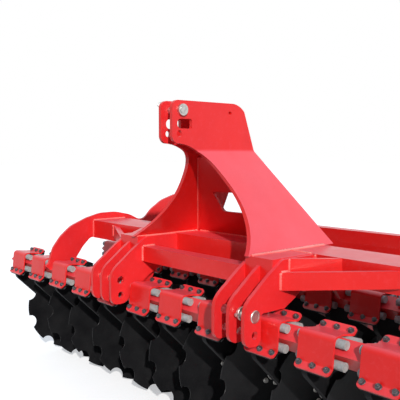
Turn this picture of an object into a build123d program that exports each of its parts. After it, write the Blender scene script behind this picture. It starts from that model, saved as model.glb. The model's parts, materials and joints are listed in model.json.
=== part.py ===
"""Compact disc harrow on a three-point headstock.

Working frame while building: X across the machine, Y rearward from the front
gang beam, Z up from the ground, millimetres.  Everything is moved once, at the
end, so that the origin is under the middle of the whole machine.
"""
from build123d import *
import math
import os

os.makedirs("parts", exist_ok=True)

# ------------------------------------------------------------ driving sizes
PITCH = 250.0            # arm to arm along a gang beam
ARMS = 13                # arms on each beam
MOVED = {6: -28.0, 7: -16.0, 8: 11.0}   # front arms set aside for the hitch plates
ROW_GAP = 650.0          # front beam axis to rear beam axis
AXIS_Y = 10.0            # beam axes behind the row lines
AXIS_Z = 575.5           # height of both beam axes
TILT = -5.8              # degrees the beams and clamps are rolled about X

BEAM_SIDE = 68.0         # gang beam, square tube standing on its corner
BEAM_WALL = 8.0
BEAM_HALF = ARMS * PITCH / 2 - 5.0

CLAMP_W = 148.0          # clamp width along the beam
SIDE_T = 16.0            # outer side plates
ROD_R = 15.9 / 68.0 * BEAM_SIDE      # rubber rod radius
ROD_FIT = 0.1            # rod to beam
ROD_SEAT = 0.2447        # rod to clamp
ROD_CLEAR = 9.0          # rod end to side plate
ROD_OVER = (PITCH - CLAMP_W - SIDE_T) / 2 - ROD_CLEAR    # how far a rod sticks out on the disc side
ROOM = (PITCH - CLAMP_W) / 102.0     # scale of the fittings between two clamps
ROD_BACK = 12.0 * ROOM   # and on the other side
ROD_SHORT = 22.0         # beside an inner lower-link plate
PLATE = 7.0              # clamp plate thickness
ROD_OFF = (BEAM_SIDE / 2 + ROD_R + ROD_FIT) / math.sqrt(2)   # rod axes from the beam axis, each way
CLAMP_IN = ROD_OFF + ROD_R + ROD_SEAT                   # half width inside a clamp
CLAMP_BEND = 15.5        # inner radius of the clamp's big bend
FLANGE = 32.0            # flange length past the inner corner
FLANGE_R = 16.0          # corner radius of a flange
SCALLOP = 12.0           # depth of the hollows in the ends of a cap
SPLIT = 1.0              # gap between the two flanges

DISC_R = 280.0
DISC_T = 6.0
DISH = 54.0              # depth of the dish
FLAT_R = 72.0            # flat middle of a disc
NOTCHES = 10
NOTCH_R = 40.0
NOTCH_OUT = 6.0          # notch centres beyond the rim
GANG = 17.0              # degrees a disc is turned from straight ahead
DISC_Y = 287.0           # disc centre behind its row line
DISC_X = 62.5            # disc centre beside its arm
SPINDLE_R = 20.0
RUN = 0.05               # radial running clearance

ARM_X = 50.0             # arm blade beside the clamp middle
ARM_T = 25.0
ARM_Z = 593.0            # height the blade outline is measured from

MAIN_Y0, MAIN_Y1 = 245.0, 465.0      # main cross beam
DECK = 840.0                         # its top face
UNDER = 740.0                        # its bottom face
SIDE_X = 4.5 * PITCH     # outer side plates, between two arms

LINK_T = 16.0            # lower-link plates
LINK_STEP = 78.0
LINK_A = PITCH + CLAMP_W / 2 + 15.0 * ROOM + LINK_T / 2     # beside a clamp
LINK_B, LINK_C = LINK_A + LINK_STEP, LINK_A + 2 * LINK_STEP
LINK_Y = -87.0           # both lower-link holes
LINK_PIN_Z, LINK_LOW_Z = 650.0, 582.0
LINK_PIN_R, LINK_LOW_R = 18.3, 14.5
RAIL_X0, RAIL_X1 = LINK_A + LINK_T / 2, LINK_C - LINK_T / 2
RAIL_Y0 = 20.0

TOWER_T = 16.0           # headstock plates
TOWER_X = 45.0           # outer face of the upright part
TOWER_FOOT = LINK_A + 38.0   # outer face at the deck, over the rails
BEND_Z = 1240.0
TOP_PIN = (-39.0, 1407.0)
TOP_PIN_R = 15.9
TOP_LOW = (-51.0, 1310.0)
TOP_LOW_R = 14.0

PIVOT = (ROW_GAP + 110.0, 720.0)         # roller arm pivot
PIVOT_R = 20.0
ROLL_Y, ROLL_Z = ROW_GAP + 870.0, 250.0
ROLL_ARM_X = SIDE_X + 40.0
ROLL_END_X = ARMS * PITCH / 2 - 85.0
ROLL_TUBE = (ROW_GAP + 550.0, ROW_GAP + 630.0, 660.0, 740.0)   # y0, y1, z0, z1


# ------------------------------------------------------------ small helpers
def in_yz(x):
    return lambda u, v: (x, u, v)


def in_xz(y):
    return lambda u, v: (u, y, v)


def in_xy(z):
    return lambda u, v: (u, v, z)


def outline(rows, place):
    """Closed wire from rows of (u, v, corner radius)."""
    ends = []
    n = len(rows)
    for i, (u, v, r) in enumerate(rows):
        pu, pv = rows[i - 1][:2]
        nu, nv = rows[(i + 1) % n][:2]
        la, lb = math.hypot(pu - u, pv - v), math.hypot(nu - u, nv - v)
        au, av, bu, bv = (pu - u) / la, (pv - v) / la, (nu - u) / lb, (nv - v) / lb
        half = math.acos(max(-1.0, min(1.0, au * bu + av * bv))) / 2
        if r <= 0 or half > math.radians(88.5):
            ends.append(((u, v), None, (u, v)))
            continue
        t = min(r / math.tan(half), 0.47 * la, 0.47 * lb)
        rr = t * math.tan(half)
        mu, mv = au + bu, av + bv
        lm = math.hypot(mu, mv)
        mu, mv = mu / lm, mv / lm
        reach = rr / math.sin(half) - rr
        ends.append(((u + au * t, v + av * t), (u + mu * reach, v + mv * reach),
                     (u + bu * t, v + bv * t)))
    edges = []
    for i, (start, mid, stop) in enumerate(ends):
        if mid:
            edges.append(Edge.make_three_point_arc(place(*start), place(*mid), place(*stop)))
        after = ends[(i + 1) % n][0]
        if math.hypot(after[0] - stop[0], after[1] - stop[1]) > 1e-6:
            edges.append(Edge.make_line(place(*stop), place(*after)))
    return Wire(edges)


def slab_x(rows, x0, x1):
    return Solid.extrude(Face(outline(rows, in_yz(x0))), Vector(x1 - x0, 0, 0))


def slab_y(rows, y0, y1):
    return Solid.extrude(Face(outline(rows, in_xz(y0))), Vector(0, y1 - y0, 0))


def slab_z(rows, z0, z1):
    return Solid.extrude(Face(outline(rows, in_xy(z0))), Vector(0, 0, z1 - z0))


def block(x0, x1, y0, y1, z0, z1):
    return Solid.make_box(x1 - x0, y1 - y0, z1 - z0, Plane(origin=(x0, y0, z0)))


def rod(start, axis, radius, length):
    return Solid.make_cylinder(radius, length, Plane(origin=start, z_dir=axis))


def rod_x(y, z, radius, x0, x1):
    return rod((x0, y, z), (1, 0, 0), radius, x1 - x0)


def solid(shape):
    """The one solid that a boolean made."""
    found = shape.solids()
    assert len(found) == 1, len(found)
    return found[0]


def turned(u, v):
    """Section point given square to a beam, as (y, z) from its row line."""
    c, s = math.cos(math.radians(TILT)), math.sin(math.radians(TILT))
    return (AXIS_Y + u * c - v * s, AXIS_Z + u * s + v * c)


def mirrored(shape):
    return shape.mirror(Plane.YZ)


def both(*shapes):
    return list(shapes) + [mirrored(s) for s in shapes]


nodes = {}
joints = []


# ------------------------------------------------------------ discs
def disc(side, turn):
    """Notched dished disc with hub flange and spindle, about local +Z.

    The rim plane is z = 0 and the hollow side faces +Z.
    """
    hub = DISH + DISC_T
    profile = Wire.make_polygon([
        (0, 0, -DISH), (FLAT_R, 0, -DISH), (DISC_R, 0, 0), (DISC_R, 0, -DISC_T),
        (FLAT_R, 0, -hub), (54, 0, -hub), (54, 0, -hub - 28), (SPINDLE_R, 0, -hub - 28),
        (SPINDLE_R, 0, -hub - 78), (0, 0, -hub - 78)], close=True)
    body = Solid.revolve(Face(profile), 360, Axis.Z)
    for k in range(NOTCHES):
        a = math.radians(turn + 360.0 / NOTCHES * k)
        body = body - Solid.make_cylinder(
            NOTCH_R, 60, Plane(origin=((DISC_R + NOTCH_OUT) * math.cos(a), (DISC_R + NOTCH_OUT) * math.sin(a), -40)))
    return solid(body)


def disc_axis(row):
    s = 1 if row == "front" else -1
    g = math.radians(GANG)
    return (s * math.cos(g), -math.sin(g), 0.0)


ROW_Y = {"front": 0.0, "rear": ROW_GAP}
SIGN = {"front": 1.0, "rear": -1.0}
even = [(i - (ARMS - 1) / 2) * PITCH for i in range(ARMS)]
ARM_AT = {"front": [x + MOVED.get(i, 0.0) for i, x in enumerate(even)], "rear": even}

for row in ("front", "rear"):
    one = disc(SIGN[row], 0.0)
    axis = disc_axis(row)
    for i, x in enumerate(ARM_AT[row]):
        centre = (x + SIGN[row] * DISC_X, ROW_Y[row] + DISC_Y, DISC_R)
        turn = (i * 13 + (7 if row == "rear" else 0)) % 36
        plane = Plane(origin=centre, z_dir=axis, x_dir=(0, 0, -1))
        name = "%s_disc_%02d" % (row, i + 1)
        nodes[name] = [one.rotate(Axis.Z, turn).moved(Location(plane))]
        joints.append((name, centre, axis))


# ------------------------------------------------------------ gang beams
def gang_beam(y):
    outer = BEAM_SIDE / math.sqrt(2)
    inner = (BEAM_SIDE - 2 * BEAM_WALL) / math.sqrt(2)

    def diamond(h):
        corners = [turned(-h, 0), turned(0, h), turned(h, 0), turned(0, -h)]
        return [(y + a, b, 0) for a, b in corners]
    return solid(slab_x(diamond(outer), -BEAM_HALF, BEAM_HALF)
                 - slab_x(diamond(inner), -BEAM_HALF - 1, BEAM_HALF + 1))


nodes["front_beam"] = [gang_beam(0.0)]
nodes["rear_beam"] = [gang_beam(ROW_GAP)]


# ------------------------------------------------------------ rubber clamps
def half_clamp(x, y, upper):
    """One bent half of a clamp, split along its rising diagonal."""
    i, o = CLAMP_IN, CLAMP_IN + PLATE
    g, t = SPLIT / 2, SPLIT / 2 + PLATE
    e = i + FLANGE / math.sqrt(2)
    q = 1 / math.sqrt(2)
    w = CLAMP_W / 2
    rows = [  # y, z, corner radius, square to the beam
        (-e - g * q, -e + g * q, 0), (-e - t * q, -e + t * q, 0),
        (-o, -o + 2 * t * q, 7), (-o, o, CLAMP_BEND + PLATE), (o - 2 * t * q, o, 7),
        (e - t * q, e + t * q, 0), (e - g * q, e + g * q, 0),
        (i - 2 * g * q, i, 12), (-i, i, CLAMP_BEND), (-i, -i + 2 * g * q, 12)]
    if not upper:
        rows = [(b, a, r) for a, b, r in reversed(rows)]
    half = slab_x(rows, -w, w)
    # round the flange corners, looking square onto the split
    plan = Plane(origin=(0, 200 * q, -200 * q), x_dir=(1, 0, 0), z_dir=(0, -q, q))
    end = e / q
    corner = [(-w, -end, FLANGE_R), (w, -end, FLANGE_R), (w, end, FLANGE_R), (-w, end, FLANGE_R)]
    wire = outline(corner, lambda u, v: tuple(plan.from_local_coords((u, v, 0))))
    half = half & Solid.extrude(Face(wire), plan.z_dir * 400)
    if upper:
        for s in (-1, 1):
            at = (s * (w - SCALLOP + 45), 5, i - 8)
            half = half - Solid.make_cylinder(45, 60, Plane(origin=at))
    half = solid(half)
    return half.moved(Location((x, y + AXIS_Y, AXIS_Z), (TILT, 0, 0)))


BLADE = [  # y from the row line, z from ARM_Z, corner radius
    (-44, -112, 50), (110, -262, 260), (292, -368, 50), (376, -338, 50), (362, -262, 50),
    (180, -168, 220), (104, -92, 60)]
mid = CLAMP_IN + PLATE / 2
BLADE_ROOT = [(mid, 0), (mid, -36), (mid - 5.7, 5.7 - mid), (36, -mid), (-46, -mid)]   # inside the plate


def arm(x, row):
    """Lower clamp half with its blade and bearing housing in one forging."""
    y, s = ROW_Y[row], SIGN[row]
    rows = [(y + a, ARM_Z + b, r) for a, b, r in BLADE]
    rows += [(y + turned(u, v)[0], turned(u, v)[1], 0) for u, v in BLADE_ROOT]
    blade = slab_x(rows, x - s * ARM_X - ARM_T / 2, x - s * ARM_X + ARM_T / 2)
    n = Vector(*disc_axis(row))
    centre = Vector(x + s * DISC_X, y + DISC_Y, DISC_R)
    near, far = DISH + DISC_T + 34, DISH + DISC_T + 88
    house = rod(centre - n * near, -n, 46, far - near)
    bore = rod(centre - n * (near - 1), -n, SPINDLE_R + RUN, 46)
    return solid((half_clamp(x, y, False) + blade + house) - bore)


def rods(x, y, s, over):
    ends = sorted((x - s * (CLAMP_W / 2 + ROD_BACK), x + s * (CLAMP_W / 2 + over)))
    made = []
    for a in (-1, 1):
        for b in (-1, 1):
            v, w = turned(a * ROD_OFF, b * ROD_OFF)
            made.append(rod_x(y + v, w, ROD_R, ends[0], ends[1]))
    return made


for row in ("front", "rear"):
    y = ROW_Y[row]
    places = ARM_AT[row]
    nodes[row + "_clamp_caps"] = [half_clamp(x, y, True) for x in places]
    nodes[row + "_arms"] = [arm(x, row) for x in places]
    nodes[row + "_rubber_rods"] = []
    for i, x in enumerate(places):
        over = ROD_SHORT if row == "front" and i in (7, 8) else ROD_OVER
        nodes[row + "_rubber_rods"] += rods(x, y, SIGN[row], over)


# ------------------------------------------------------------ carrying frame
inner_x = SIDE_X - SIDE_T / 2
nodes["main_cross_beam"] = [solid(
    block(-inner_x, inner_x, MAIN_Y0, MAIN_Y1, UNDER, DECK)
    - block(-inner_x - 1, inner_x + 1, MAIN_Y0 + 8, MAIN_Y1 - 8, UNDER + 8, DECK - 8))]

tube_x = LINK_A - LINK_T / 2
nodes["front_cross_tube"] = [solid(
    block(-tube_x, tube_x, 37, 107, 724, 794) - block(-tube_x - 1, tube_x + 1, 43, 101, 730, 788))]

rail = solid(block(RAIL_X0, RAIL_X1, RAIL_Y0, MAIN_Y0, UNDER, DECK)
             - block(RAIL_X0 + 8, RAIL_X1 - 8, RAIL_Y0 + 8, MAIN_Y0 + 1, UNDER + 8, DECK - 8))
nodes["hitch_rails"] = both(rail)

diag = BEAM_SIDE / math.sqrt(2)


def hug(y, back=False):
    """The three beam corners that a plate is notched over, front to back."""
    pts = [(y + a, b, 0) for a, b in (turned(-diag, 0), turned(0, diag), turned(diag, 0))]
    return pts[::-1] if back else pts


SIDE_ROWS = [  # y, z, corner radius
    (-64, 604, 6), (-44, 622, 12), (-34, 650, 60), (-16, 704, 90), (34, 766, 110), (98, 818, 140),
    (200, 858, 160), (294, 881, 200), (400, 882, 200), (500, 860, 160),
    *[(ROW_GAP + a, b, c) for a, b, c in (
        (-84, 826, 70), (-38, 828, 60), (18, 884, 120), (102, 936, 160), (200, 966, 160),
        (290, 976, 60), (364, 948, 50), (372, 790, 60), (280, 690, 80), (200, 606, 40), (88, 596, 30))],
    *hug(ROW_GAP, back=True),
    *[(ROW_GAP + a, b, c) for a, b, c in (
        (-65, 576, 10), (-115, 592, 25), (-135, 634, 25), (-177, 694, 40), (-213, 742, 30))],
    (222, 742, 36), (172, 694, 50), (128, 634, 40), (112, 592, 25), (85, 566, 10),
    *hug(0, back=True)]
STOPS = [(ROW_GAP + 250.0, 822.0), (ROW_GAP + 182.0, 634.0)]      # roller arm stop pins
STOP_R = 13.0
side = slab_x(SIDE_ROWS, SIDE_X - SIDE_T / 2, SIDE_X + SIDE_T / 2)
for y, z in STOPS:
    side = side - rod_x(y, z, STOP_R + 0.2, SIDE_X - 20, SIDE_X + 20)
side = solid(side - rod_x(ROW_GAP + 222, 922, 11, SIDE_X - 20, SIDE_X + 20))
nodes["outer_side_plates"] = both(side)
nodes["roller_stop_pins"] = both(*[
    solid(rod_x(y, z, STOP_R, SIDE_X - 20, SIDE_X + 62) + rod_x(y, z, 21, SIDE_X + 54, SIDE_X + 64))
    for y, z in STOPS])

HANG_FRONT = [(20, UNDER, 0), (170, UNDER, 0), (88, 584, 20), *hug(0, back=True),
              (-64, 594, 15), (-46, 650, 30)]
HANG_REAR = [(MAIN_Y1, 836, 0), (MAIN_Y1 + 55, 836, 60), (ROW_GAP + 88, 596, 20), *hug(ROW_GAP, back=True),
             (ROW_GAP - 68, 592, 15), (MAIN_Y1, 744, 0)]
HANG_T = 20.0
HANG_X = 1.5 * PITCH + 3.0      # between two clamps, clear of their rods
nodes["beam_hanger_plates"] = both(slab_x(HANG_FRONT, HANG_X - HANG_T / 2, HANG_X + HANG_T / 2),
                                   slab_x(HANG_REAR, HANG_X - HANG_T / 2, HANG_X + HANG_T / 2))

LINK_END = 541.0         # lowest point of the lower-link plates
LINK_FRONT = [(-139, LINK_END, 41)]                  # y, z, corner radius
LINK_FACE = AXIS_Y - CLAMP_IN - PLATE - 7.5
LINK_OVER = AXIS_Z + CLAMP_IN + PLATE + 21.0
LINK_CLEAR = [(LINK_FACE, LINK_END, 28), (LINK_FACE, LINK_OVER, 12), (66, LINK_OVER, 0)]     # ahead of a clamp
LINK_WIDE = [(-70, LINK_END, 40), (-43, 558, 14), *hug(0)[:2], (*turned(8, diag - 8), 0)]   # over the beam
LINK_BACK = [(72, LINK_OVER, 0), (131, 686, 12), (170, 712, 30), (MAIN_Y0, UNDER - 6, 0)]
LINK_CURVE = [(-12, 790, 60), (-42, 768, 90), (-74, 743, 60), (-109, 717, 60), (-133, 692, 60), (-140, 655, 40)]
LINK_TOP = [(MAIN_Y0, DECK - 2, 0), (62, DECK - 2, 40)] + LINK_CURVE
LINK_UNDER = [(72, LINK_OVER, 0), (131, 686, 12), (160, UNDER, 0), (RAIL_Y0, UNDER, 0), (RAIL_Y0, 811, 0)] + LINK_CURVE


def link_plate(x, rows):
    p = slab_x(rows, x - LINK_T / 2, x + LINK_T / 2)
    p = p - rod_x(LINK_Y, LINK_PIN_Z, LINK_PIN_R + 0.2, x - 20, x + 20)
    return solid(p - rod_x(LINK_Y, LINK_LOW_Z, LINK_LOW_R, x - 20, x + 20))


nodes["lower_link_plates"] = both(link_plate(LINK_A, LINK_FRONT + LINK_WIDE + LINK_BACK + LINK_TOP),
                                  link_plate(LINK_B, LINK_FRONT + LINK_CLEAR + LINK_UNDER),
                                  link_plate(LINK_C, LINK_FRONT + LINK_CLEAR + LINK_BACK + LINK_TOP))
nodes["lower_link_pins"] = both(rod_x(LINK_Y, LINK_PIN_Z, LINK_PIN_R, LINK_B - 22, LINK_C + LINK_T / 2 + 5))

cx = LINK_C + LINK_T / 2
brace = solid(slab_z([(cx, 48, 0), (905, MAIN_Y0, 0), (842, MAIN_Y0, 0), (cx, 86, 0)], 700, 900)
              & slab_y([(cx, 724, 0), (cx, 791, 0), (905, 829, 0), (905, 767, 0)], 0, 260))
nodes["diagonal_braces"] = both(brace)
gusset = slab_z([(cx, 96, 0), (640, MAIN_Y0, 0), (616, MAIN_Y0, 0), (cx, 126, 0)], 745, 838)
nodes["brace_gussets"] = both(gusset)

# ------------------------------------------------------------ headstock
slope = (TOWER_FOOT - TOWER_X) / (BEND_Z - DECK)
lean = TOWER_T * math.hypot(1, slope)          # plate thickness measured along X
bend_in = BEND_Z - (lean - TOWER_T) / slope      # where the two inner faces meet
TOP_Z = 1446.0
section = [(TOWER_X, TOP_Z, 0), (TOWER_X, BEND_Z, 20), (TOWER_FOOT, DECK, 0),
           (TOWER_FOOT - lean, DECK, 0), (TOWER_X - TOWER_T, bend_in, 6),
           (TOWER_X - TOWER_T, TOP_Z, 0)]


def tower_plate():
    """Plate bent once along Y, cut to its side outline."""
    p = in_yz(0)
    front = [(46, 1237), (84, 1200), (114, 1130), (127, 1045), (110, 965), (64, 892), (6, DECK)]
    edges = [Edge.make_spline([Vector(*p(y, z)) for y, z in front])]
    rows = [(6, DECK), (530, DECK), (384, 1240), (322, 1412), (290, 1436), (251, TOP_Z),
            (-56, TOP_Z), (-79, 1437), (-88, 1414), (-88, 1300), (-78, 1279), (-56, 1270),
            (-10, 1263), (46, 1237)]
    i = 0
    while i < len(rows) - 1:
        a = rows[i]
        if i in (3, 6, 9, 11):
            b, c = rows[i + 1], rows[i + 2]
            edges.append(Edge.make_three_point_arc(p(*a), p(*b), p(*c)))
            i += 2
        else:
            edges.append(Edge.make_line(p(*a), p(*rows[i + 1])))
            i += 1
    side = Solid.extrude(Face(Wire(edges)), Vector(500, 0, 0))
    plate = slab_y(section, -150, 600) & side
    plate = plate - rod_x(TOP_PIN[0], TOP_PIN[1], TOP_PIN_R + 0.2, 0, 100)
    plate = plate - rod_x(TOP_LOW[0], TOP_LOW[1], TOP_LOW_R, 0, 100)
    plate = plate - rod_x(233, 1403, 9, 0, 100)
    slot = [(-62, 1331, 19.5), (-62, 1371, 19.5), (16, 1371, 9), (16, 1331, 9)]
    return solid(plate - slab_x(slot, 0, 100))


near = tower_plate()
nodes["tower_right"] = [near]
nodes["tower_left"] = [mirrored(near)]

wx = lambda z: TOWER_X - lean + (BEND_Z - z) * slope
wz = 1205.0
web_y = [(127, 1210, 0), (136.7, 1217.1, 0), (414.9, DECK, 0), (400, DECK, 0)]
web_x = [(-wx(wz + 14), wz + 14, 0), (wx(wz + 14), wz + 14, 0), (wx(DECK), DECK, 0), (-wx(DECK), DECK, 0)]
web = slab_x(web_y, -400, 400) & slab_y(web_x, 50, 500)
web = web - slab_y([(-78, 962, 12), (78, 962, 12), (78, 1056, 12), (-78, 1056, 12)], 50, 500)
nodes["tower_web"] = [solid(web)]

nodes["top_link_pin"] = [solid(
    rod_x(TOP_PIN[0], TOP_PIN[1], TOP_PIN_R, -84, 60)
    + rod_x(TOP_PIN[0], TOP_PIN[1], 24, TOWER_X + 0.5, 58))]

# ------------------------------------------------------------ rear end
back = ROW_GAP + 287.0
nodes["rear_cross_tube"] = [solid(
    block(-inner_x, inner_x, back, back + 60, 785, 845)
    - block(-inner_x - 1, inner_x + 1, back + 5, back + 55, 790, 840))]

py, pz = PIVOT
outer_x = SIDE_X + SIDE_T / 2
nodes["roller_pivot_pins"] = both(solid(
    rod_x(py, pz, PIVOT_R, outer_x, ROLL_ARM_X + 18) + rod_x(py, pz, 34, ROLL_ARM_X + 16, ROLL_ARM_X + 26)))

ty0, ty1, tz0, tz1 = ROLL_TUBE
ARM_OUT = [  # y, z, corner radius
    (py - 55, pz + 55, 54), (py + 60, pz + 55, 200), (ty0 - 60, tz1 + 22, 80), (ty0, tz1 + 22, 20),
    (ty0, tz0 - 12, 20), (ty0 - 120, tz0 + 6, 80), (py + 90, pz - 55, 120), (py - 55, pz - 55, 54)]
roll_arm = slab_x(ARM_OUT, ROLL_ARM_X - 10, ROLL_ARM_X + 10) + rod_x(py, pz, 42, outer_x + 5, ROLL_ARM_X + 10)
roll_arm = solid(roll_arm - rod_x(py, pz, PIVOT_R + RUN, outer_x, ROLL_ARM_X + 30))
nodes["roller_arms"] = both(roll_arm)
nodes["roller_frame_tube"] = [solid(
    block(-ROLL_END_X, ROLL_END_X, ty0, ty1, tz0, tz1)
    - block(-ROLL_END_X - 1, ROLL_END_X + 1, ty0 + 6, ty1 - 6, tz0 + 6, tz1 - 6))]
END_OUT = [  # y, z, corner radius
    (ty0 - 14, tz1 + 14, 20), (ty1 + 40, tz1 + 14, 60), (ROLL_Y + 64, ROLL_Z + 20, 60),
    (ROLL_Y + 60, ROLL_Z - 62, 60), (ROLL_Y - 62, ROLL_Z - 62, 60), (ROLL_Y - 66, ROLL_Z + 60, 60),
    (ty0 - 14, tz0 - 20, 60)]
nodes["roller_end_plates"] = both(slab_x(END_OUT, ROLL_END_X, ROLL_END_X + 14))
nodes["roller_bearings"] = both(solid(
    rod_x(ROLL_Y, ROLL_Z, 52, ROLL_END_X - 32, ROLL_END_X)
    - rod_x(ROLL_Y, ROLL_Z, 25 + RUN, ROLL_END_X - 40, ROLL_END_X - 4)))

RINGS = 7
BARS = 10
BAR_C, BAR_R = 234.0, 16.0
SHAFT_R = 36.0
nodes["roller_shaft"] = [solid(rod_x(ROLL_Y, ROLL_Z, SHAFT_R, 50 - ROLL_END_X, ROLL_END_X - 50)
                               + rod_x(ROLL_Y, ROLL_Z, 25, -ROLL_END_X + 6, ROLL_END_X - 6))]
rings = []
for k in range(RINGS):
    x = (2 * k / (RINGS - 1) - 1) * (ROLL_END_X - 60)
    rings.append(solid(rod_x(ROLL_Y, ROLL_Z, BAR_C - BAR_R - 0.2, x - 5, x + 5)
                       - rod_x(ROLL_Y, ROLL_Z, SHAFT_R + 0.2, x - 6, x + 6)))
nodes["roller_rings"] = rings
bars = []
for k in range(BARS):
    a = math.radians(90 + 360.0 / BARS * k)
    bars.append(rod_x(ROLL_Y + BAR_C * math.cos(a), ROLL_Z + BAR_C * math.sin(a), BAR_R, 40 - ROLL_END_X, ROLL_END_X - 40))
nodes["roller_bars"] = bars

# ------------------------------------------------------------ place and write
low, high = [1e9] * 3, [-1e9] * 3
for shapes in nodes.values():
    for s in shapes:
        b = s.bounding_box()
        for k, (lo, hi) in enumerate(((b.min.X, b.max.X), (b.min.Y, b.max.Y), (b.min.Z, b.max.Z))):
            low[k], high[k] = min(low[k], lo), max(high[k], hi)
shift = Location((0, -round((low[1] + high[1]) / 2, 1), 0))
print("box", [round(v, 2) for v in low + high], "shift", shift.position)
for name, shapes in nodes.items():
    moved = [s.moved(shift) for s in shapes]
    export_step(moved[0] if len(moved) == 1 else Compound(moved), "parts/%s.step" % name)
print(len(nodes), "nodes")
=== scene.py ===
import json
import math
import random

import bmesh
import bpy
from mathutils import Matrix, Vector


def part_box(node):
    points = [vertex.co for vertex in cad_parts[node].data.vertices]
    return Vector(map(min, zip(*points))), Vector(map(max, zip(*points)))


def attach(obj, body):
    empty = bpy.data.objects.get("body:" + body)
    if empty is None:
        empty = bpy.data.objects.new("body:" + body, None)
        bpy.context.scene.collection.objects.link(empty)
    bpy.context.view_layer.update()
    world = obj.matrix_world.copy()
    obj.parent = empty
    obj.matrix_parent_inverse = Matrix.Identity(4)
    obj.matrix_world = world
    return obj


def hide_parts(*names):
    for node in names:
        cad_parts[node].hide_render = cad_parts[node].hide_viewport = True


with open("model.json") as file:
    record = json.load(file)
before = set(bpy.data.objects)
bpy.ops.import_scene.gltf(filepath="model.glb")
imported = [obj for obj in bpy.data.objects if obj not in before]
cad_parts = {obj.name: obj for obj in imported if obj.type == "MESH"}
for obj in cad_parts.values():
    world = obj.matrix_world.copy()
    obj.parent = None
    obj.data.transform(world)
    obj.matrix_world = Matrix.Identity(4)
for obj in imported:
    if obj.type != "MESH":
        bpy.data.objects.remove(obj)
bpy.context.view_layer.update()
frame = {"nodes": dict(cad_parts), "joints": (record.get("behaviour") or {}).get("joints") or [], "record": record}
random.seed(7)

# ------------------------------------------------------------ places read from the frame


def centre(node):
    """Middle of a CAD piece's box."""
    low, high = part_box(node)
    return (Vector(low) + Vector(high)) / 2


FRONT = centre("front_beam")
REAR = centre("rear_beam")
AXIS_Z = FRONT.z
AXIS_Y = 0.010                 # beam axes behind the row lines
Y0 = FRONT.y - AXIS_Y          # front row line
TILT = math.radians(-5.8)      # of the clamps, from 45 degrees
PITCH, ARMS = 0.25, 13
MOVED = {6: -0.028, 7: -0.016, 8: 0.011}      # front arms set aside for the hitch plates
EVEN = [(i - (ARMS - 1) / 2) * PITCH for i in range(ARMS)]
ARM_X = {"front": [x + MOVED.get(i, 0.0) for i, x in enumerate(EVEN)], "rear": EVEN}


def at(x, y, z):
    """A point given in millimetres from the front row line, at ground height."""
    return Vector((x / 1000, Y0 + y / 1000, z / 1000))


# ------------------------------------------------------------ node helpers
def new_material(name):
    m = bpy.data.materials.new(name)
    m.use_nodes = True
    nt = m.node_tree
    nt.nodes.clear()
    out = nt.nodes.new("ShaderNodeOutputMaterial")
    bsdf = nt.nodes.new("ShaderNodeBsdfPrincipled")
    nt.links.new(bsdf.outputs[0], out.inputs[0])
    return m, nt, bsdf


def feed(nt, socket, value):
    """Puts a number, a colour or another node's output into a socket."""
    if isinstance(value, bpy.types.NodeSocket):
        nt.links.new(value, socket)
    elif isinstance(value, tuple):
        socket.default_value = (*value, 1)
    else:
        socket.default_value = value


def sums(nt, operation, *values):
    n = nt.nodes.new("ShaderNodeMath")
    n.operation = operation
    for socket, value in zip(n.inputs, values):
        feed(nt, socket, value)
    return n.outputs[0]


def noise(nt, scale, detail, rough, stretch=(1, 1, 1)):
    co = nt.nodes.new("ShaderNodeTexCoord")
    mp = nt.nodes.new("ShaderNodeMapping")
    mp.inputs["Scale"].default_value = stretch
    nt.links.new(co.outputs["Object"], mp.inputs[0])
    n = nt.nodes.new("ShaderNodeTexNoise")
    n.inputs["Scale"].default_value = scale
    n.inputs["Detail"].default_value = detail
    n.inputs["Roughness"].default_value = rough
    nt.links.new(mp.outputs[0], n.inputs["Vector"])
    return n.outputs[0]


def ramp(nt, source, stops):
    n = nt.nodes.new("ShaderNodeValToRGB")
    marks = n.color_ramp.elements
    while len(marks) < len(stops):
        marks.new(0.5)
    for mark, (position, colour) in zip(marks, stops):
        mark.position = position
        mark.color = (*colour, 1)
    nt.links.new(source, n.inputs[0])
    return n.outputs[0]


def grey(v):
    return (v, v, v)


def mix_colour(nt, factor, a, b):
    n = nt.nodes.new("ShaderNodeMix")
    n.data_type = "RGBA"
    for socket, value in ((n.inputs[0], factor), (n.inputs[6], a), (n.inputs[7], b)):
        feed(nt, socket, value)
    return n.outputs[2]


def bump(nt, bsdf, source, strength, distance):
    n = nt.nodes.new("ShaderNodeBump")
    n.inputs["Strength"].default_value = strength
    n.inputs["Distance"].default_value = distance
    nt.links.new(source, n.inputs["Height"])
    nt.links.new(n.outputs[0], bsdf.inputs["Normal"])


def backdrop_rays(nt):
    """1 for rays from the camera, from shiny faces and through glass, else 0."""
    path = nt.nodes.new("ShaderNodeLightPath")
    seen = path.outputs["Is Camera Ray"]
    for kind in ("Is Glossy Ray", "Is Transmission Ray"):
        seen = sums(nt, "MAXIMUM", seen, path.outputs[kind])
    return seen


SIDE_SHARE, TOP_SHARE = 0.45, 0.72     # how much of the painted sheen a flank and a top take
THIN_SHEEN, FULL_SHEEN = 0.30, 0.95      # share below which there is none, above which all


def painted_sheen_mask(nt):
    """Mask of the painted sheen: 0 on faces that look ahead, behind or down, towards 1 on tops and upper flanks,
    the faces a bright sky would make paler.
    """
    geo = nt.nodes.new("ShaderNodeNewGeometry")
    split = nt.nodes.new("ShaderNodeSeparateXYZ")
    nt.links.new(geo.outputs["Normal"], split.inputs[0])
    side = sums(nt, "MULTIPLY", sums(nt, "ABSOLUTE", split.outputs[0]), SIDE_SHARE)
    whole = sums(nt, "MULTIPLY_ADD", split.outputs[2], TOP_SHARE, side)
    span = nt.nodes.new("ShaderNodeMapRange")
    span.interpolation_type = "SMOOTHSTEP"
    span.inputs["From Min"].default_value = THIN_SHEEN
    span.inputs["From Max"].default_value = FULL_SHEEN
    nt.links.new(whole, span.inputs["Value"])
    return span.outputs[0]


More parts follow.
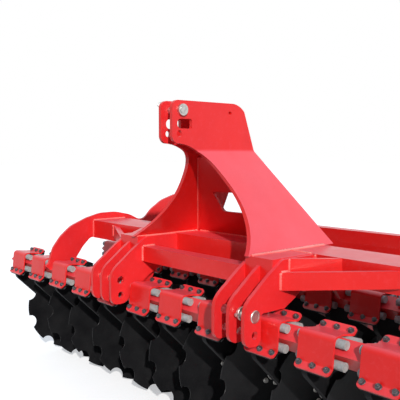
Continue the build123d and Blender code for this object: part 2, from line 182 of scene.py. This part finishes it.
def enamel(name, base, deep, dust, rough, coat, dusty=0.25, peel=0.10, painted_sheen=0.0, shine=0.34):
    """Sprayed paint: drifting tone, dust in flecks, orange peel, and a painted sheen: tops and upper flanks paled
    towards the dust colour as if they reflected the sky.
    """
    m, nt, bsdf = new_material(name)
    tone = ramp(nt, noise(nt, 2.3, 3, 0.55), [(0.30, deep), (0.62, base)])
    fleck = ramp(nt, noise(nt, 55, 6, 0.7), [(0.52, grey(0.0)), (0.78, grey(dusty))])
    colour = mix_colour(nt, fleck, tone, dust)
    # painted sheen: tops and flanks mixed towards the dust colour, standing in for reflected sky
    if painted_sheen:
        spread = ramp(nt, noise(nt, 5.5, 5, 0.6), [(0.30, grey(painted_sheen * 0.75)), (0.70, grey(painted_sheen))])
        colour = mix_colour(nt, sums(nt, "MULTIPLY", painted_sheen_mask(nt), spread), colour, dust)
    nt.links.new(colour, bsdf.inputs["Base Color"])
    smear = noise(nt, 9, 5, 0.6, (1, 1, 0.35))
    polish = ramp(nt, smear, [(0.3, grey(rough - 0.05)), (0.75, grey(rough + 0.10))])
    nt.links.new(polish, bsdf.inputs["Roughness"])
    bsdf.inputs["Coat Weight"].default_value = coat
    bsdf.inputs["Coat Roughness"].default_value = 0.12
    bsdf.inputs["Specular IOR Level"].default_value = shine
    bump(nt, bsdf, noise(nt, 260, 2, 0.5), peel, 0.0006)
    return m


def metal(name, base, dark, rough, scale=60):
    m, nt, bsdf = new_material(name)
    grain = noise(nt, scale, 5, 0.65)
    nt.links.new(ramp(nt, grain, [(0.3, dark), (0.7, base)]), bsdf.inputs["Base Color"])
    polish = ramp(nt, grain, [(0.25, grey(rough + 0.15)), (0.8, grey(rough))])
    nt.links.new(polish, bsdf.inputs["Roughness"])
    bsdf.inputs["Metallic"].default_value = 1.0
    bump(nt, bsdf, grain, 0.15, 0.0005)
    return m


def disc_steel():
    """Black dipped blade steel with a dull, faintly dusty skin."""
    m, nt, bsdf = new_material("disc_black")
    broad = noise(nt, 7, 5, 0.6)
    tone = ramp(nt, broad, [(0.35, (0.006, 0.006, 0.007)), (0.7, (0.013, 0.013, 0.014))])
    speck = noise(nt, 90, 6, 0.75)
    dust = ramp(nt, speck, [(0.55, grey(0.0)), (0.80, grey(0.30))])
    nt.links.new(mix_colour(nt, dust, tone, (0.045, 0.045, 0.045)), bsdf.inputs["Base Color"])
    polish = ramp(nt, broad, [(0.3, grey(0.32)), (0.75, grey(0.46))])
    nt.links.new(polish, bsdf.inputs["Roughness"])
    bsdf.inputs["Specular IOR Level"].default_value = 0.22
    bump(nt, bsdf, speck, 0.12, 0.0008)
    return m


def rubber_cord():
    m, nt, bsdf = new_material("rubber_cord")
    grain = noise(nt, 70, 6, 0.7)
    tone = ramp(nt, grain, [(0.3, (0.26, 0.26, 0.255)), (0.7, (0.46, 0.46, 0.45))])
    nt.links.new(tone, bsdf.inputs["Base Color"])
    bsdf.inputs["Roughness"].default_value = 0.82
    bump(nt, bsdf, grain, 0.4, 0.001)
    return m


# each dust colour is real dust in the flecks and also the colour of the painted sheen on tops and flanks
RED = enamel("red_enamel", (0.80, 0.016, 0.013), (0.70, 0.009, 0.008), (0.88, 0.20, 0.27),
             0.36, 0.12, dusty=0.10, painted_sheen=0.50)
# painted highlight: a lighter red for the rounded edges, where the paint would catch the light
EDGE_HIGHLIGHT = enamel("red_edge_highlight", (0.92, 0.16, 0.14), (0.84, 0.07, 0.06), (0.92, 0.40, 0.38),
              0.28, 0.5, dusty=0.20, painted_sheen=0.4)
# painted highlight: a paler, glossier red for the weld beads, where the ripples would catch the light
WELD = enamel("red_weld", (0.92, 0.20, 0.17), (0.80, 0.03, 0.03), (0.92, 0.45, 0.42),
              0.26, 0.6, peel=0.5, painted_sheen=0.4)
BLACK = enamel("black_enamel", (0.010, 0.010, 0.011), (0.006, 0.006, 0.007),
               (0.06, 0.055, 0.05), 0.60, 0.0, dusty=0.20, shine=0.10)
ZINC = metal("zinc_plate", (0.72, 0.70, 0.66), (0.42, 0.41, 0.40), 0.32)
BOLT = metal("bolt_steel", (0.20, 0.20, 0.21), (0.06, 0.06, 0.07), 0.50, 130)
DISC = disc_steel()
RUBBER = rubber_cord()
SLOT_MATERIAL = {"frame_paint": RED, "arm_paint": BLACK, "disc_steel": DISC, "rubber": RUBBER,
                 "zinc_steel": ZINC}

# ------------------------------------------------------------ the CAD pieces
BEND_ANGLE = math.radians(32)          # edges sharper than this are rounded
EDGES = {"front_clamp_caps": 0.0016, "rear_clamp_caps": 0.0016, "lower_link_plates": 0.0018,
         "outer_side_plates": 0.002, "tower_left": 0.002, "tower_right": 0.002,
         "tower_web": 0.0015, "main_cross_beam": 0.009, "front_cross_tube": 0.006,
         "rear_cross_tube": 0.006, "roller_frame_tube": 0.006, "hitch_rails": 0.006,
         "diagonal_braces": 0.004, "brace_gussets": 0.002, "beam_hanger_plates": 0.002,
         "front_beam": 0.005, "rear_beam": 0.005}


def soften(obj, width, edge):
    """Rounds the sharp edges a little; the rounding can have a material of its own, a lighter red as a painted
    highlight.
    """
    b = obj.modifiers.new("edge", "BEVEL")
    b.width = width
    b.segments = 2
    b.limit_method = "ANGLE"
    b.angle_limit = BEND_ANGLE
    b.harden_normals = True
    # the rounding takes the painted highlight material
    if edge:
        obj.data.materials.append(edge)
        b.material = 1
    for p in obj.data.polygons:
        p.use_smooth = True


slot_of = {s["node"]: s["material_slot"] for s in frame["record"]["subparts"]}
for node, obj in frame["nodes"].items():
    obj.data.materials.clear()
    obj.data.materials.append(SLOT_MATERIAL[slot_of[node]])
    if node in EDGES:
        soften(obj, EDGES[node], EDGE_HIGHLIGHT if slot_of[node] == "frame_paint" else None)


# ------------------------------------------------------------ mesh helpers
def piece(name, bm, mat, body, smooth=35):
    """Object from a mesh; edges sharper than smooth degrees stay sharp, 0 for none."""
    me = bpy.data.meshes.new(name)
    bm.normal_update()
    bm.to_mesh(me)
    bm.free()
    for p in me.polygons:
        p.use_smooth = True
    obj = bpy.data.objects.new(name, me)
    bpy.context.scene.collection.objects.link(obj)
    me.materials.append(mat)
    if smooth:
        me.set_sharp_from_angle(angle=math.radians(smooth))
    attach(obj, body)
    return obj


def around(count):
    """Evenly spaced angles of a full circle."""
    return [2 * math.pi * k / count for k in range(count)]


def placed(origin, axis, up=None):
    """Matrix with its origin there and +Z along the axis; +X leans towards up."""
    z = Vector(axis).normalized()
    x = Vector(up) if up else (Vector((1, 0, 0)) if abs(z.x) < 0.9 else Vector((0, 1, 0)))
    x = (x - z * x.dot(z)).normalized()
    y = z.cross(x)
    m = Matrix((x, y, z)).transposed().to_4x4()
    m.translation = Vector(origin)
    return m


def lathe(bm, rows, mat, segments):
    """Closed turned shape from (radius, height) rows, both ends on the axis."""
    rings = []
    for r, h in rows:
        if r < 1e-7:
            rings.append([bm.verts.new(mat @ Vector((0, 0, h)))])
        else:
            rings.append([bm.verts.new(mat @ Vector((r * math.cos(a), r * math.sin(a), h)))
                          for a in around(segments)])
    for lo, hi in zip(rings, rings[1:]):
        for k in range(max(len(lo), len(hi))):
            a, b = lo[k % len(lo)], lo[(k + 1) % len(lo)]
            c, d = hi[(k + 1) % len(hi)], hi[k % len(hi)]
            face = [v for i, v in enumerate((a, b, c, d)) if v not in (a, b, c, d)[:i]]
            if len(face) > 2:
                bm.faces.new(face)


def skin(bm, rings):
    """Walls between rings of vertices, and a cap on each end; rings run anticlockwise
    seen from the last one."""
    n = len(rings[0])
    for lo, hi in zip(rings, rings[1:]):
        for k in range(n):
            bm.faces.new((lo[k], lo[(k + 1) % n], hi[(k + 1) % n], hi[k]))
    bm.faces.new(rings[-1])
    bm.faces.new(list(reversed(rings[0])))


HEX_CHAMFER = 0.192            # height of the turned-off corners, of the head's height
HEX_TOP = 0.97                 # width of the top face, of the width across the flats


def hexagon(bm, mat, across, low, high):
    """Hexagonal head or nut with turned-off corners, from low to high."""
    flat, corner = across / 2, across / math.sqrt(3)
    shoulder = high - (high - low) * HEX_CHAMFER
    rings = []
    for z, limit in ((low, corner), (shoulder, corner), (high, flat * HEX_TOP)):
        ring = []
        for k, a in enumerate(around(12)):
            radius = min(flat if k % 2 else corner, limit)
            ring.append(bm.verts.new(mat @ Vector((radius * math.cos(a), radius * math.sin(a), z))))
        rings.append(ring)
    skin(bm, rings)


WASHER_R = 0.68                # washer radius, of the width across the flats
WASHER_H = 0.0022
WASHER_EDGE = 0.0006           # chamfer
SINK = 0.0001                  # the head stands this deep in the washer
SHANK_R = 0.30                 # radius of a shank's end, of the width across the flats
SHANK_EDGE = 0.0012            # its chamfer


def bolt(bm, origin, axis, across, head, tip=0.0):
    """Washer and head at origin, standing out along the axis; tip is the shank's end."""
    spin = random.uniform(0, math.pi / 3)
    m = placed(origin, axis) @ Matrix.Rotation(spin, 4, "Z")
    w = across * WASHER_R
    lathe(bm, [(0, 0), (w, 0), (w, WASHER_H - WASHER_EDGE), (w - WASHER_EDGE, WASHER_H),
               (0, WASHER_H)], m, 20)
    low = WASHER_H - SINK
    top = low + head
    hexagon(bm, m, across, low, top)
    if tip:
        r = across * SHANK_R
        lathe(bm, [(0, top - 0.001), (r, top - 0.001), (r, top + tip - SHANK_EDGE),
                   (r - SHANK_EDGE, top + tip), (0, top + tip)], m, 14)


# ------------------------------------------------------------ clamp bolts
CLAMP_PLATE = 0.0075           # outer face of each flange, from the middle of the split
BOLT_OUT = 0.084               # bolt line from the beam axis, along the split
BOLT_STEP = 0.058              # between the three bolts of a flange
M_HEX, M_HEAD, M_TIP = 0.017, 0.0085, 0.004     # across the flats, head, shank past the nut
LEAN = math.radians(45) + TILT
ALONG = Vector((0, math.cos(LEAN), math.sin(LEAN)))
OUT = Vector((0, -ALONG.z, ALONG.y))
for row, axis_y in (("front", FRONT.y), ("rear", REAR.y)):
    bm = bmesh.new()
    for x in ARM_X[row]:
        for s in (-1, 1):
            foot = Vector((x, axis_y, AXIS_Z)) + ALONG * s * BOLT_OUT
            for dx in (-BOLT_STEP, 0.0, BOLT_STEP):
                p = foot + Vector((dx, 0, 0))
                bolt(bm, p + OUT * CLAMP_PLATE, OUT, M_HEX, M_HEAD, M_TIP)
                bolt(bm, p - OUT * CLAMP_PLATE, -OUT, M_HEX, M_HEAD)
    piece(row + "_clamp_bolts", bm, BOLT, "frame")

# ------------------------------------------------------------ weld beads
RIPPLE = 0.005                 # between two rings of a bead
SWELL, PINCH, STRAY = 0.16, -0.10, 0.08         # of the size, at every other ring and by chance
ROOT = 0.0004                  # the bead's middle lies this deep
ARC = [math.pi * k / 6 for k in range(-1, 8)]   # the outline, a little over half a circle


def bead(bm, path, size):
    """Rippled weld along a path of (point, lean) pairs; the lean points out of the corner."""
    rings = []
    for (a, la), (b, lb) in zip(path, path[1:]):
        a, b, la, lb = Vector(a), Vector(b), Vector(la), Vector(lb)
        n = max(2, int((b - a).length / RIPPLE))
        last = b == Vector(path[-1][0])
        for i in range(n + last):
            t = i / n
            p, lean = a.lerp(b, t), la.lerp(lb, t).normalized()
            side = (b - a).normalized().cross(lean)
            w = size * (1.0 + (SWELL if i % 2 else PINCH) + random.uniform(-STRAY, STRAY))
            rings.append([bm.verts.new(p + side * math.cos(c) * w
                                       + lean * (math.sin(c) * w - ROOT)) for c in ARC])
    skin(bm, rings[::-1])


# Places in millimetres from the front row line and the ground, like at().
DECK, UNDER = 840, 740                  # main beam, top and bottom
BEAM_FRONT, BEAM_BACK = 245, 465        # main beam, front and back
FOOT_OUT, FOOT_IN = 385, 364            # headstock foot
INNER_IN, INNER_OUT = 339, 355          # inner link plate, both faces
OUTER_OUT = 511                         # outer link plate, outer face
SIDE_IN = 1117                          # side plate, inner face
TUBE_TOP = 794                          # front cross tube
BIG, PLAIN, SMALL, FINE = 0.008, 0.0065, 0.006, 0.005
SEAMS = [  # points on the near half, lean, size
    # headstock foot on rail and main beam, outside and inside
    ([(FOOT_OUT, 22, DECK), (FOOT_OUT, BEAM_BACK - 2, DECK)], (1, 0, 0.7), BIG),
    ([(FOOT_IN, 22, DECK), (FOOT_IN, 398, DECK)], (-1, 0, 0.7), SMALL),
    # outer link plate and rail end on the main beam
    ([(OUTER_OUT + 2, BEAM_FRONT, UNDER + 2), (OUTER_OUT + 2, BEAM_FRONT, DECK - 2)],
     (1, -1, 0), PLAIN),
    ([(357, BEAM_FRONT, DECK - 2), (493, BEAM_FRONT, DECK - 2)], (0, -0.4, 1), PLAIN),
    # inner link plate along the rail
    ([(INNER_OUT, 64, DECK - 2), (INNER_OUT, BEAM_FRONT - 2, DECK - 2)], (1, 0, 1), PLAIN),
    # brace on the outer link plate, in front and on top, and on the main beam
    ([(OUTER_OUT, 47, 726), (OUTER_OUT, 47, 790)], (1, -1, 0), PLAIN),
    ([(OUTER_OUT, 50, 791), (OUTER_OUT, 86, 791)], (0.7, 0, 1), PLAIN),
    ([(903, BEAM_FRONT - 2, 768), (903, BEAM_FRONT - 2, 829)], (1, -1, 0), PLAIN),
    # gusset on the outer link plate
    ([(OUTER_OUT, 95, 746), (OUTER_OUT, 95, DECK - 3)], (1, -1, 0), FINE),
    # side plate on the main beam: top, front, back
    ([(SIDE_IN, BEAM_FRONT + 1, DECK), (SIDE_IN, BEAM_BACK - 1, DECK)], (-1, 0, 1), PLAIN),
    ([(SIDE_IN, BEAM_FRONT, UNDER + 2), (SIDE_IN, BEAM_FRONT, DECK - 2)], (-1, -1, 0), PLAIN),
    ([(SIDE_IN, BEAM_BACK, UNDER + 2), (SIDE_IN, BEAM_BACK, DECK - 2)], (-1, 1, 0), PLAIN),
    # front cross tube on the inner link plate, in front and on top
    ([(INNER_IN, 37, 726), (INNER_IN, 37, TUBE_TOP - 1)], (-1, -1, 0), PLAIN),
    ([(INNER_IN, 38, TUBE_TOP), (INNER_IN, 106, TUBE_TOP)], (-1, 0, 1), PLAIN),
    # web in the headstock
    ([(46, 128, 1209), (209, 267, 1020), (361, 398, 842)], (-1, -0.8, 0.2), FINE),
]


def seam(bm, points, lean, size):
    bead(bm, [(at(*q), lean) for q in points], size)


bm = bmesh.new()
for s in (1, -1):
    for points, lean, size in SEAMS:
        seam(bm, [(s * x, y, z) for x, y, z in points], (s * lean[0], lean[1], lean[2]), size)
seam(bm, [(-340, 400, DECK + 1), (340, 400, DECK + 1)], (0, -1, 0.8), SMALL)    # foot of the web
piece("weld_beads", bm, WELD, "frame", 0)

# ------------------------------------------------------------ pins of the hitch
# Lower link pins: turned head outside, collar between the plates, a small hexagon on the collar.
PIN_HEAD = [(0, 0), (0.0235, 0), (0.0235, 0.0035), (0.0215, 0.0052), (0.0150, 0.0056),
            (0.0142, 0.0040), (0, 0.0040)]
COLLAR = [(0, 0), (0.025, 0), (0.0262, 0.0015), (0.0262, 0.010), (0.025, 0.0115), (0, 0.0115)]
PIN_Y, PIN_Z = -87, 650
bm = bmesh.new()
for s in (1, -1):
    lathe(bm, PIN_HEAD, placed(at(s * 511.2, PIN_Y, PIN_Z), (s, 0, 0)), 32)
    lathe(bm, COLLAR, placed(at(s * 441, PIN_Y, PIN_Z), (s, 0, 0)), 32)
    hexagon(bm, placed(at(s * 447, PIN_Y - 26, PIN_Z), (0, -1, 0)), 0.013, 0.0, 0.007)
piece("link_pin_heads", bm, ZINC, "frame")

# Top link pin: lynch pin through its far end, and the hoop of that pin.
LYNCH = [(0, -0.020), (0.0035, -0.020), (0.0035, 0.024), (0.0055, 0.026), (0.0055, 0.030),
         (0, 0.031)]
HOOP_R, HOOP_WIRE, HOOP_FLAT = 0.019, 0.0016, 0.55      # radius, wire radius, height to width
bm = bmesh.new()
c = at(-72, -39, 1407)
lathe(bm, LYNCH, placed(c, (0, 0.25, 1)), 12)
hoop = [[bm.verts.new(c + Vector((HOOP_WIRE * math.cos(t), 0, 0.029))
                      + (HOOP_R + HOOP_WIRE * math.sin(t))
                      * Vector((0, math.cos(a), math.sin(a) * HOOP_FLAT))
                      - Vector((0, 0.016, 0.004))) for t in around(6)] for a in around(28)]
for ring, after in zip(hoop, hoop[1:] + hoop[:1]):
    for k in range(6):
        n = (k + 1) % 6
        bm.faces.new((ring[n], after[n], after[k], ring[k]))
piece("top_pin_lynch", bm, ZINC, "frame")

# ------------------------------------------------------------ dished discs
DISC_R, DISH, FLAT_R, DISC_T = 0.280, 0.054, 0.062, 0.006
NOTCHES, NOTCH_R, NOTCH_OUT = 10, 0.040, 0.006  # the notches' centres lie outside the rim
NOTCH_STEPS, RIM_STEPS = 6, 6                   # to half a notch, and to the rim between two
RINGS = (0.0, 0.22, 0.44, 0.66, 0.84, 1.0)      # of a face, from the flat middle to the edge
FACE_IN, BACK_IN = 0.0012, 0.010                # where each face ends, inside the rim
EDGE_TOP, EDGE_LOW = 0.0008, 0.0026             # rim below the hollow face: upper, lower edge


def rim_points():
    """Outline of a notched disc as (angle, radius), one notch pitch at a time."""
    d = DISC_R + NOTCH_OUT
    meet = math.acos((DISC_R ** 2 + d ** 2 - NOTCH_R ** 2) / (2 * DISC_R * d))
    reach = math.atan2(DISC_R * math.sin(meet), d - DISC_R * math.cos(meet))
    pitch = 2 * math.pi / NOTCHES
    points = []
    for k in range(NOTCHES):
        for i in range(2 * NOTCH_STEPS + 1):
            t = reach * (1 - i / NOTCH_STEPS)
            x, y = d - NOTCH_R * math.cos(t), -NOTCH_R * math.sin(t)
            points.append((k * pitch + math.atan2(y, x), math.hypot(x, y)))
        for i in range(1, RIM_STEPS):
            points.append((k * pitch + meet + (pitch - 2 * meet) * i / RIM_STEPS, DISC_R))
    return points


RIM = rim_points()


def hollow(r):
    """Height of the hollow face at a radius: flat middle, then spherical."""
    if r <= FLAT_R:
        return -DISH
    return -DISH + DISH * (r * r - FLAT_R ** 2) / (DISC_R ** 2 - FLAT_R ** 2)


def dished(bm, m, turn):
    """Closed notched disc: hollow face, ground edge, back face."""
    front, back = [], []
    for a, r in RIM:
        a += math.radians(turn)
        ca, sa = math.cos(a), math.sin(a)
        f, b = [], []
        for k in RINGS:
            q = FLAT_R + (r - FACE_IN - FLAT_R) * k
            f.append(bm.verts.new(m @ Vector((q * ca, q * sa, hollow(q)))))
            q = FLAT_R + (r - BACK_IN - FLAT_R) * k
            b.append(bm.verts.new(m @ Vector((q * ca, q * sa, hollow(q) - DISC_T))))
        f.append(bm.verts.new(m @ Vector((r * ca, r * sa, hollow(r) - EDGE_TOP))))
        b.append(bm.verts.new(m @ Vector((r * ca, r * sa, hollow(r) - EDGE_LOW))))
        front.append(f)
        back.append(b)
    n = len(RIM)
    mid_f = bm.verts.new(m @ Vector((0, 0, -DISH)))
    mid_b = bm.verts.new(m @ Vector((0, 0, -DISH - DISC_T)))
    for i in range(n):
        j = (i + 1) % n
        bm.faces.new((mid_f, front[i][0], front[j][0]))
        bm.faces.new((mid_b, back[j][0], back[i][0]))
        for k in range(len(RINGS)):
            bm.faces.new((front[i][k], front[i][k + 1], front[j][k + 1], front[j][k]))
            bm.faces.new((back[i][k + 1], back[i][k], back[j][k], back[j][k + 1]))
        bm.faces.new((front[i][-1], back[i][-1], back[j][-1], front[j][-1]))


HUB = -DISH - DISC_T           # back of the flat middle
HUB_ROWS = [(0, -0.078), (0.020, -0.078), (0.020, -0.028), (0.030, -0.028), (0.034, -0.024),
            (0.036, -0.014), (0.044, -0.010), (0.0525, -0.010), (0.054, -0.0085),
            (0.054, -0.0001), (0, -0.0001)]
CAP_ROWS = [(0, 0.0), (0.026, 0.0), (0.026, 0.004), (0.0245, 0.0055), (0.010, 0.0065),
            (0, 0.0065)]
HUB_BOLTS, HUB_BOLT_R = 5, 0.043
for j in frame["joints"]:
    if "_disc_" not in j["name"]:
        continue
    body = j["child"]
    number, rear = int(body[-2:]), body.startswith("rear")
    turn = ((number - 1) * 13 + (7 if rear else 0)) % 36     # no two neighbours stand alike
    c, n = Vector(j["pos_m"]), Vector(j["axis"]).normalized()
    m = placed(c, n, (0, 0, -1))

    bm = bmesh.new()
    dished(bm, m, turn)
    blade = piece(body + "_blade", bm, DISC, body, 30)
    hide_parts(body)

    bm = bmesh.new()
    lathe(bm, [(r, HUB + h) for r, h in HUB_ROWS], m, 36)
    piece(body + "_hub", bm, BLACK, body, 30)

    bm = bmesh.new()
    cap = placed(c - n * DISH, n, (0, 0, -1))
    lathe(bm, CAP_ROWS, cap, 32)
    for a in around(HUB_BOLTS):
        a = math.radians(turn) + a
        p = cap @ Vector((HUB_BOLT_R * math.cos(a), HUB_BOLT_R * math.sin(a), 0))
        bolt(bm, p, n, M_HEX, 0.007)
    piece(body + "_hub_bolts", bm, ZINC, body)

# ------------------------------------------------------------ camera, light, floor
cam = bpy.data.cameras.new("camera")
cam.lens = 55.95
cam.sensor_width = 36
camera = bpy.data.objects.new("camera", cam)
bpy.context.scene.collection.objects.link(camera)
camera.location = at(2021.8, -1658.4, 1228.1)
camera.rotation_euler = (math.radians(90 - 4.259), 0, math.radians(49.0))    # looks 4.3 down
bpy.context.scene.camera = camera


def pale_floor():
    """Pale matt floor that the camera sees as white, less the object's shadow."""
    m, nt, bsdf = new_material("floor_pale")
    bsdf.inputs["Roughness"].default_value = 0.95
    bsdf.inputs["Specular IOR Level"].default_value = 0.0
    seen = backdrop_rays(nt)
    nt.links.new(mix_colour(nt, seen, grey(0.34), grey(0.84)), bsdf.inputs["Base Color"])
    bsdf.inputs["Emission Color"].default_value = (1, 1, 1, 1)
    nt.links.new(sums(nt, "MULTIPLY", seen, 0.45), bsdf.inputs["Emission Strength"])
    return m


REACH, DROP = 60, -0.0005      # half the floor's width; just under the rims
floor_mesh = bpy.data.meshes.new("floor")
floor_mesh.from_pydata([(-REACH, -REACH, DROP), (REACH, -REACH, DROP), (REACH, REACH, DROP),
                        (-REACH, REACH, DROP)], [], [(0, 1, 2, 3)])
floor = bpy.data.objects.new("floor", floor_mesh)
bpy.context.scene.collection.objects.link(floor)
floor_mesh.materials.append(pale_floor())

# World: white where it is seen, a dim sky where it lights.
world = bpy.data.worlds.new("world")
bpy.context.scene.world = world
world.use_nodes = True
wn = world.node_tree
wn.nodes.clear()
wout = wn.nodes.new("ShaderNodeOutputWorld")
mixer = wn.nodes.new("ShaderNodeMixShader")
white = wn.nodes.new("ShaderNodeBackground")
white.inputs[0].default_value = (1, 1, 1, 1)
white.inputs[1].default_value = 1.0
sky = wn.nodes.new("ShaderNodeBackground")
look = wn.nodes.new("ShaderNodeTexCoord")
split = wn.nodes.new("ShaderNodeSeparateXYZ")
wn.links.new(look.outputs["Generated"], split.inputs[0])
height = ramp(wn, split.outputs[2], [(0.0, (0.30, 0.31, 0.33)), (0.10, (0.42, 0.45, 0.50)),
                                     (0.75, (0.62, 0.76, 0.95))])
wn.links.new(height, sky.inputs[0])
sky.inputs[1].default_value = 0.60
wn.links.new(backdrop_rays(wn), mixer.inputs[0])
wn.links.new(sky.outputs[0], mixer.inputs[1])
wn.links.new(white.outputs[0], mixer.inputs[2])
wn.links.new(mixer.outputs[0], wout.inputs[0])

sun = bpy.data.lights.new("key", "SUN")
sun.energy = 3.2
sun.angle = math.radians(1.5)
sun.color = (1.0, 0.97, 0.93)
key = bpy.data.objects.new("key", sun)
bpy.context.scene.collection.objects.link(key)
key.rotation_euler = Vector((-1.0, 0.62, -0.55)).to_track_quat("-Z", "Y").to_euler()

bpy.context.scene.view_settings.view_transform = "Standard"
